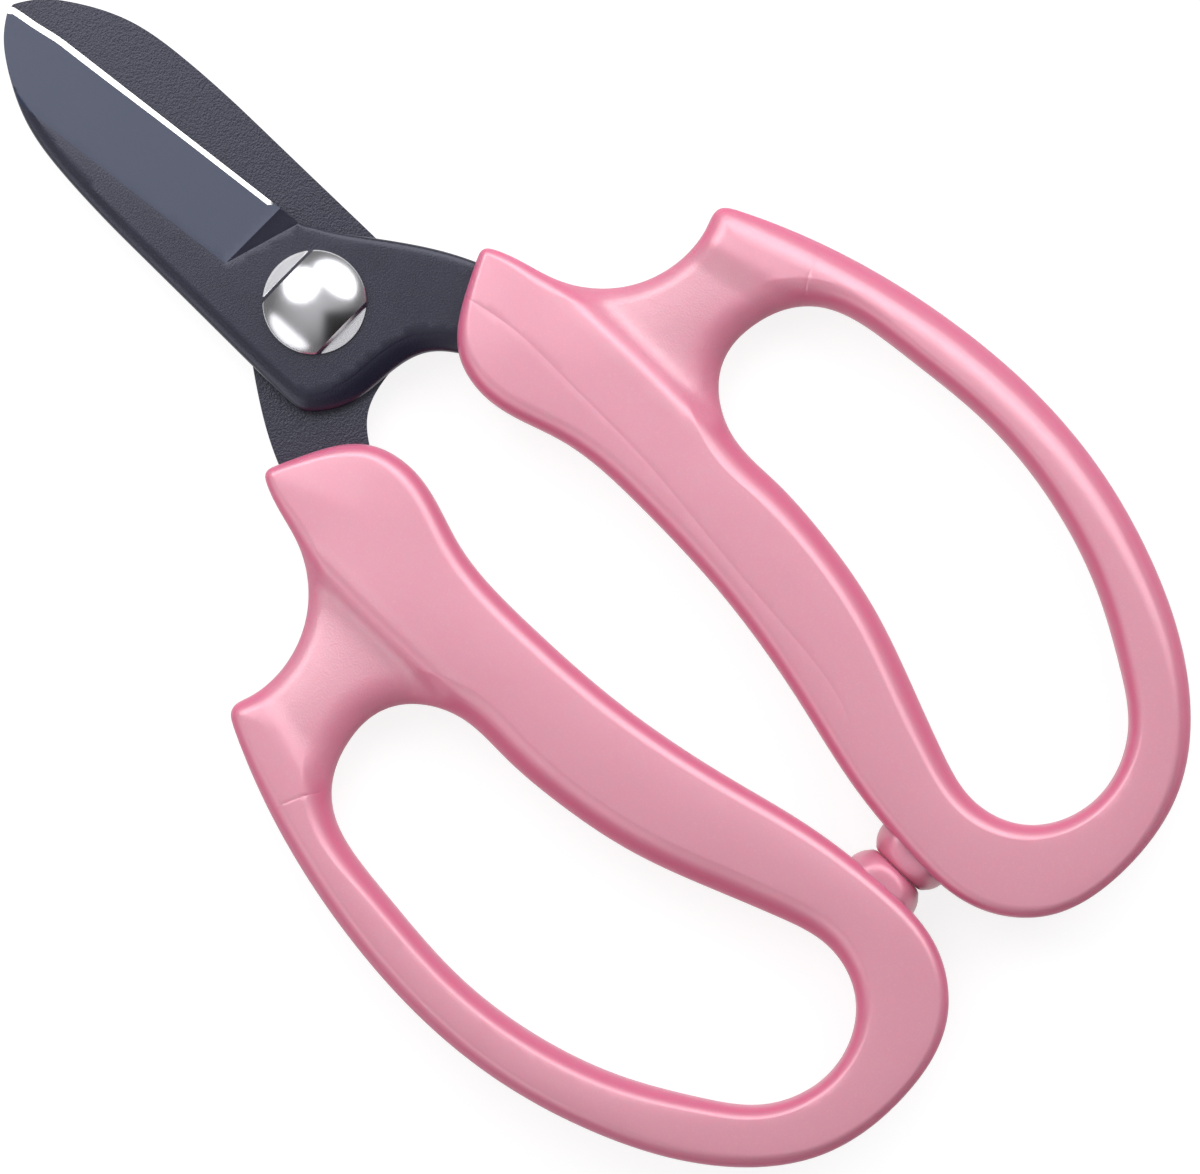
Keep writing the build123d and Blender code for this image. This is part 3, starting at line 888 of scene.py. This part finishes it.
def blade_height(points, loops):
    """Thickness of the blade above its inner face."""
    to_edge, at = distance_to(points, loops[0])
    reach, fall = (v[at] for v in blade_marks(loops[0]))
    height = BLADE_THICK - quarter_round(to_edge, reach, fall)
    wide = ease((reach - 0.9) / 0.4)
    height -= wide * ROUND_SLOPE * np.clip(reach - to_edge, 0, None) * np.clip(to_edge, 0, 0.6)
    height -= wide * ROUND_STEP * ease((reach - to_edge) / ROUND_STEP_RUN)
    for hole in loops[1:]:
        away, _ = distance_to(points, hole)
        height -= quarter_round(away, 0.3, 0.25)
    slope = (BLADE_THICK - BEVEL_LAND) / BEVEL_WIDTH
    depth = in_from_edge(points)
    bevel = BEVEL_LAND + slope * depth
    away, _ = distance_to(points, edge_curve(loops[0]), closed=False)
    strip = bevel - STRIP_SLOPE * np.clip(strip_width(points[:, 0]) - away, 0, None)
    strip = np.maximum(strip, EDGE_THICK)
    foot, top = (*BEVEL_FOOT, BEVEL_LAND), (*BEVEL_TOP, BLADE_THICK)
    run_out = plane_through(foot, top, (*EDGE_ROOT, BLADE_THICK))
    cut = soft_max(strip, run_out(points), ARRIS)
    return soft_min(height, cut, ARRIS)


def build_blade():
    loops = level_loops("front_blade", INNER_FACE, False)
    outline, corners = even_loop(loops[0], 0.25, True)
    outline = soften_corners(outline, corners, [1.0] * len(corners))
    holes = [even_loop(loop, 0.45, False)[0] for loop in loops[1:]]
    near = outline[:, 0] > -25
    keep = near | (np.arange(len(outline)) % 3 == 0)
    outline = outline[keep]
    loops = [outline] + holes
    reach, _ = blade_marks(outline)
    steps = [1 - math.cos(math.radians(a)) for a in (25, 45, 62, 75)] + [0.9, 1.0, 1.03]
    step_row = np.maximum(reach - ROUND_STEP_RUN, 0.05)
    insets = [[reach * s for s in steps] + [step_row]] + [[0.15, 0.3] for _ in holes]
    lines = [
        smooth_curve([EDGE_ROOT, BEVEL_TOP], 0.2),
        smooth_curve([(BEVEL_START, -5.2), BEVEL_TOP], 0.2),
        smooth_curve([BEVEL_TOP, BEVEL_AHEAD], 0.25),
    ]
    edge = edge_curve(outline)
    lines.append(strip_border(edge))
    plan = Plan(loops, insets, lines, fill=0.9, line_half=0.06)
    top = blade_height(plan.xy, loops)
    bottom = np.zeros(len(plan.xy))
    mesh = plate_mesh(
        "front_blade_finish", plan, INNER_FACE + top, INNER_FACE + bottom, STRAIGHT_WALL)
    middles = plan.xy[plan.triangles].mean(axis=1)
    away, _ = distance_to(middles, edge, closed=False)
    on_strip = (away < strip_width(middles[:, 0])) & (middles[:, 0] > STRIP_START)
    on_bevel = (in_from_edge(middles) < BEVEL_WIDTH) & (middles[:, 0] > BEVEL_START)
    kinds = np.where(on_strip, 3, np.where(on_bevel, 2, 0))
    walls = len(mesh.polygons) - 2 * len(kinds)
    mesh.polygons.foreach_set(
        "material_index", np.concatenate([kinds, np.full(len(kinds), 1), np.zeros(walls, int)]))
    set_sharp(mesh, 40)
    return mesh


# ==== Turned pieces: stops, bolt ====

def lathe(profile, segments, name, axis_point=(0, 0, 0), axis="Z"):
    """A closed solid of revolution from (radius, height) points, first and last on the axis."""
    verts, faces = [], []
    rings = []
    for radius, height in profile:
        if radius < 1e-6:
            rings.append([len(verts)])
            verts.append((0, 0, height))
            continue
        ring = []
        for i in range(segments):
            angle = 2 * math.pi * i / segments
            ring.append(len(verts))
            verts.append((radius * math.cos(angle), radius * math.sin(angle), height))
        rings.append(ring)
    for low, high in zip(rings, rings[1:]):
        for i in range(segments):
            j = (i + 1) % segments
            if len(low) == 1:
                faces.append((low[0], high[j], high[i]))
            elif len(high) == 1:
                faces.append((low[i], low[j], high[0]))
            else:
                faces.append((low[i], low[j], high[j], high[i]))
    verts = np.array(verts, float)
    if axis == "Y":
        verts = np.stack([verts[:, 0], verts[:, 2], -verts[:, 1]], axis=1)
    return new_mesh(name, verts + np.array(axis_point), faces)


STOP_FLAT = 0.84                # the stop's flattened top and underside, as a share of its radius
STOP_BLEND = 0.5


def build_stop():
    low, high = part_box("front_stop")
    centre = ((low.x + high.x) / 2 / MM, 0, MID)
    radius = (high.x - low.x) / 2 / MM
    face = -0.004
    base = -4.2
    shape = [
        (0.0, base), (radius - 0.02, base), (radius - 0.02, -2.75), (radius - 0.06, -2.35),
        (radius - 0.18, -1.9), (radius - 0.36, -1.45), (radius - 0.62, -1.0), (radius - 0.95, -0.62),
        (radius - 1.3, face - 0.24), (radius - 1.6, face - 0.09), (radius - 1.85, face - 0.02),
        (radius - 2.2, face), (radius * 0.4, face), (0.0, face),
    ]
    mesh = lathe(shape, 96, "front_stop_finish", centre, "Y")
    up = np.array([v.co.z for v in mesh.vertices]) / MM - MID
    up = np.sign(up) * soft_min(np.abs(up), STOP_FLAT * radius, STOP_BLEND)
    for vertex, height in zip(mesh.vertices, up):
        vertex.co.z = (MID + height) * MM
    mesh.update()
    # painted shade: the pink deepens towards the face where the two stops meet, over a deeper pink all
    # over
    depth = np.array([-v.co.y for v in mesh.vertices]) / MM
    point_attribute(mesh, "painted_shade", 0.3 + 0.7 * ease(1 - depth / 0.9))
    return mesh


HEAD_FLAT = 4.85                # from the middle of the head to each flat
FLAT_BEVEL = 0.40               # width of the bevel along each flat's upper edge
FLAT_WALL = 0.05
SHELF_DROP = 0.75               # how far the shelf outside a flat lies below the head's rim
HEAD_RIM = 1.2                  # height of the head's rim above the blade
RIM_WIDTH = 0.34
RIM_SLOPE = 0.80
RIM_ROUND = 0.10


def bolt_top(points, head_radius, crown):
    """Height of the bolt's head above the blade's outer face."""
    radius = np.linalg.norm(points, axis=1)
    dome_radius = head_radius - RIM_WIDTH
    rise = crown - HEAD_RIM
    sphere = (dome_radius ** 2 + rise ** 2) / (2 * rise)
    dome = HEAD_RIM + np.sqrt(np.maximum(sphere ** 2 - radius ** 2, 0)) - (sphere - rise)
    height = np.maximum(dome, HEAD_RIM - RIM_SLOPE * np.clip(radius - dome_radius, 0, None))
    across = np.abs(points[:, 0]) - HEAD_FLAT
    height -= 0.9 * np.clip(across + FLAT_BEVEL, 0, FLAT_BEVEL)
    shelf = HEAD_RIM - SHELF_DROP
    height += np.clip(across / FLAT_WALL, 0, 1) * (np.minimum(shelf, height) - height)
    return height - quarter_round(head_radius - radius, RIM_ROUND, RIM_ROUND)


SHANK_RADIUS = 3.48             # of the bolt below its head, and of its threaded end
THREAD_RADIUS = 2.98
THREAD_CHAMFER = 0.4


def bolt_shank(low, seat):
    """The bolt's shank below the head: its chamfered end has a turning centre."""
    end = low + 0.01
    shoulder = MID - BLADE_THICK + 0.15
    shape = [
        (0.0, end + 0.45), (0.35, end + 0.22), (0.62, end + 0.05), (0.72, end),
        (THREAD_RADIUS - THREAD_CHAMFER, end), (THREAD_RADIUS, end + THREAD_CHAMFER),
        (THREAD_RADIUS, shoulder), (SHANK_RADIUS - 0.1, shoulder), (SHANK_RADIUS, shoulder + 0.1),
        (SHANK_RADIUS, seat), (0.0, seat + 0.05),
    ]
    return lathe(shape, 64, "pivot_bolt_shank")


def build_bolt():
    low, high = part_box("pivot_bolt")
    head_radius = high.x / MM
    seat = INNER_FACE + BLADE_THICK
    crown = high.z / MM - seat
    angles = np.linspace(0, 2 * math.pi, 181)[:-1]
    loop = (head_radius - 0.02) * np.stack([np.cos(angles), np.sin(angles)], axis=1)
    rings = [0.03, 0.06, RIM_ROUND, 0.22, RIM_WIDTH, RIM_WIDTH + 0.18]
    rows = []
    inner = head_radius - RIM_ROUND - 0.05
    for across in (-FLAT_BEVEL, -0.2, 0.0, FLAT_WALL, 0.15, 0.4, 0.7):
        half = math.sqrt(inner ** 2 - (HEAD_FLAT + across) ** 2)
        y = np.arange(-half, half, 0.1)
        rows += [np.stack([np.full(len(y), side * (HEAD_FLAT + across)), y], 1) for side in (-1, 1)]
    plan = Plan([loop], [rings], rows, fill=0.30, line_half=0.0)
    top = seat + bolt_top(plan.xy, head_radius, crown)
    bottom = np.full(len(plan.xy), seat + 0.01)
    head = plate_mesh("pivot_bolt_head", plan, top, bottom, STRAIGHT_WALL)
    mesh = joined("pivot_bolt_finish", [head, bolt_shank(low.z / MM, seat)])
    set_sharp(mesh, 24)
    return mesh


# ==== Build ====

pink = grip_material("pearl_pink")
stop_pink = grip_material("stop_pink")
satin_coat = coat_material("satin_coat", COAT_GREY, 0.30, 4200.0, 0.30, 0.00006)
wrinkle_coat = coat_material("wrinkle_coat", COAT_GREY, 0.34, 4600.0, 0.50, 0.00012)
bevel_coat = coat_material("bevel_coat", BEVEL_BLUE, 0.37, 4600.0, 0.10, 0.00004)
ground_steel = ground_steel_material("ground_steel")
chrome = plated_material("bolt_chrome", (0.66, 0.66, 0.69, 1.0), 0.22, 300.0)
zinc = plated_material("nut_plating", (0.60, 0.60, 0.62, 1.0), 0.34, 2600.0)

grip = build_grip()
blade = build_blade()
stop = build_stop()
blade_finishes = [satin_coat, wrinkle_coat, bevel_coat, ground_steel]
halves = (("front", lambda mesh, name: mesh), ("rear", turned_mesh))
for half, copy_of in halves:
    body = half + "_half"
    place_piece(copy_of(grip, f"{half}_grip_finish"), f"{half}_grip", body, [pink])
    place_piece(
        copy_of(blade, f"{half}_blade_finish"), f"{half}_blade", body, blade_finishes)
    place_piece(copy_of(stop, f"{half}_stop_finish"), f"{half}_stop", body, [stop_pink])
place_piece(build_bolt(), "pivot_bolt", "front_half", [chrome])
for node in ("pivot_nut", "spring_washer"):
    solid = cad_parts[node]
    for material_slot in solid.material_slots:
        material_slot.material = zinc


# ==== Floor, light and camera ====

VIEW_CENTRE = (-0.04883, 0.00058)      # the middle of the view on the floor, in metres
VIEW_WIDTH = 0.14556                   # how much of the middle plane the view's width covers
VIEW_TURN = 44.24 - 180.0              # degrees: which way up the view is
CAMERA_HEIGHT = 2.0
LAMP_TARGET_X = -0.02
SENSOR = 36.0


FLOOR_BOUNCE = (0.42, 0.40, 0.40, 1.0) # what the floor throws back on the snips
FLOOR_TONE = (0.26, 0.26, 0.26, 1.0)   # its own tone where it is seen, with the glow that whitens it
FLOOR_GLOW = 0.84


def build_floor():
    """A pale floor that looks white where nothing shades it."""
    size = 3.0
    low = cad_low.z - 0.0001
    verts = [(-size, -size, low), (size, -size, low), (size, size, low), (-size, size, low)]
    mesh = bpy.data.meshes.new("floor")
    mesh.from_pydata(verts, [], [(0, 1, 2, 3)])
    floor = bpy.data.objects.new("floor", mesh)
    bpy.context.scene.collection.objects.link(floor)
    material = bpy.data.materials.new("floor_white")
    material.use_nodes = True
    tree = material.node_tree
    tree.nodes.clear()
    nodes = Nodes(tree)
    path = nodes.add("ShaderNodeLightPath").outputs
    seen = nodes.math("MAXIMUM", path["Is Camera Ray"], path["Is Glossy Ray"])
    seen = nodes.math("MAXIMUM", seen, path["Is Transmission Ray"])
    matt = nodes.add("ShaderNodeBsdfDiffuse", {
        "Color": nodes.mix(seen, FLOOR_BOUNCE, FLOOR_TONE)})
    glow = nodes.add("ShaderNodeEmission", {
        "Color": (1.0, 1.0, 1.0, 1.0), "Strength": nodes.math("MULTIPLY", seen, FLOOR_GLOW)})
    both = nodes.add("ShaderNodeAddShader")
    tree.links.new(matt.outputs[0], both.inputs[0])
    tree.links.new(glow.outputs[0], both.inputs[1])
    output = nodes.add("ShaderNodeOutputMaterial")
    tree.links.new(both.outputs[0], output.inputs["Surface"])
    mesh.materials.append(material)


def build_world():
    """A pale studio, bright overhead and dark low behind the tails of the grips."""
    world = bpy.data.worlds.new("studio")
    world.use_nodes = True
    tree = world.node_tree
    tree.nodes.clear()
    nodes = Nodes(tree)
    way = nodes.add("ShaderNodeTexCoord").outputs["Generated"]
    parts = nodes.add("ShaderNodeSeparateXYZ", {"Vector": way}).outputs
    overhead = nodes.span(parts["Z"], 0.45, 1.0, 0.20, 0.66)
    beside = nodes.math("MULTIPLY", nodes.math("ABSOLUTE", parts["Y"]), 0.8)
    behind = nodes.math("ADD", parts["X"], beside)
    level = nodes.math("MULTIPLY", overhead, nodes.span(behind, -0.42, -0.22, 0.05, 1.0))
    shader = nodes.add("ShaderNodeBackground", {"Color": (1.0, 1.0, 1.0, 1.0), "Strength": level})
    output = nodes.add("ShaderNodeOutputWorld")
    tree.links.new(shader.outputs[0], output.inputs["Surface"])
    bpy.context.scene.world = world


def build_lamp(name, place, width, height, radiance):
    """A soft round lamp at a place in metres, aimed at the middle of the snips."""
    light = bpy.data.lights.new(name, "AREA")
    light.shape = "ELLIPSE"
    light.size = width
    light.size_y = height
    light.energy = radiance * math.pi * width * height
    lamp = bpy.data.objects.new(name, light)
    bpy.context.scene.collection.objects.link(lamp)
    lamp.location = place
    away = Vector(place) - Vector((LAMP_TARGET_X, 0, 0))
    lamp.rotation_mode = "QUATERNION"
    lamp.rotation_quaternion = away.to_track_quat("Z", "Y")


def build_camera():
    data = bpy.data.cameras.new("camera")
    data.sensor_width = SENSOR
    data.lens = SENSOR * (CAMERA_HEIGHT - MID * MM) / VIEW_WIDTH
    data.clip_start = 0.1
    data.clip_end = 20
    camera = bpy.data.objects.new("camera", data)
    bpy.context.scene.collection.objects.link(camera)
    camera.location = (VIEW_CENTRE[0], VIEW_CENTRE[1], CAMERA_HEIGHT)
    camera.rotation_euler = (0, 0, math.radians(VIEW_TURN))
    bpy.context.scene.camera = camera


build_floor()
build_world()
build_lamp("side_key", (0.015, -0.41, 0.35), 0.68, 0.42, 2.45)
build_lamp("tip_key", (0.16, -0.025, 0.26), 0.28, 0.28, 2.4)
build_lamp("side_fill", (-0.02, 0.46, 0.22), 0.60, 0.22, 1.4)
build_camera()

scene = bpy.context.scene
scene.view_settings.view_transform = "Standard"
